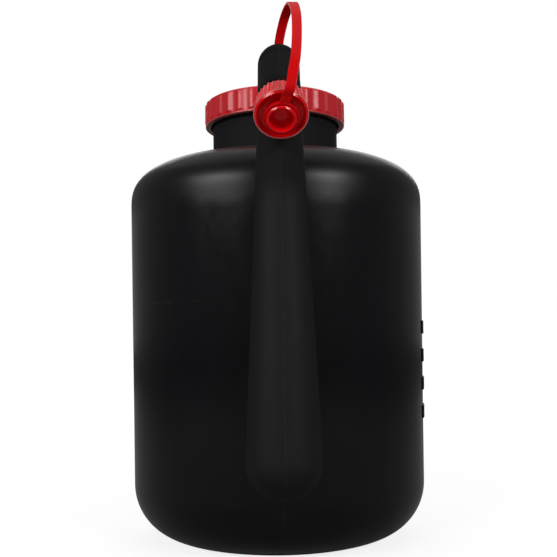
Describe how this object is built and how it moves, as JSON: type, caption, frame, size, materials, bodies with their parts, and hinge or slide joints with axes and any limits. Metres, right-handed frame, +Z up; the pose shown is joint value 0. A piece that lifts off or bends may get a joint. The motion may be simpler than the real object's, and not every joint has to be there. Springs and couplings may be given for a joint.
{
  "type": "fuel can",
  "caption": "Round blown fuel can with an upright moulded spout, a rear handle, a wide screw filler cap and a small screw cap on a strap over the spout.",
  "frame": {"origin": "centre of the flat base, on the body's axis", "axes": "+Z up along the body's axis, the spout faces -Y, the handle is on +Y and the raised bars are on +X"},
  "size_m": [0.1809, 0.2887, 0.2912],
  "materials": {
    "can_black": "satin blown polyethylene",
    "cap_red": "semi-gloss moulded polyethylene",
    "strap_red": "soft semi-gloss polyethylene",
    "seal_pale": "foamed polyethylene",
    "seal_dark": "matt"
  },
  "bodies": {
    "can": {"can_body": "can_black", "can_spout": "can_black", "can_handle": "can_black"},
    "filler_lift": {"filler_seal": "seal_pale"},
    "filler_screw": {"filler_cap": "cap_red"},
    "spout_lift": {"spout_seal": "seal_dark", "cap_strap": "strap_red"},
    "spout_screw": {"spout_cap": "cap_red"}
  },
  "joints": [
    {"name": "filler_rise", "type": "slide", "parent": "can", "child": "filler_lift", "axis": [0, 0, 1], "range_m": [0, 0.01251]},
    {"name": "filler_turn", "type": "hinge", "parent": "filler_lift", "child": "filler_screw", "pos_m": [0, 0, 0.264], "axis": [0, 0, 1], "range_deg": [0, 900]},
    {"name": "spout_rise", "type": "slide", "parent": "can", "child": "spout_lift", "axis": [0, -0.682, -0.7314], "range_m": [0, 0.00901], "deforming": ["cap_strap"]},
    {"name": "spout_turn", "type": "hinge", "parent": "spout_lift", "child": "spout_screw", "pos_m": [0, -0.096, 0.261], "axis": [0, -0.682, -0.7314], "range_deg": [0, 1080]}
  ],
  "couplings": [
    {"joint": "filler_rise", "follows": "filler_turn", "m_per_rad": 0.00079577},
    {"joint": "spout_rise", "follows": "spout_turn", "m_per_rad": 0.00047746}
  ]
}
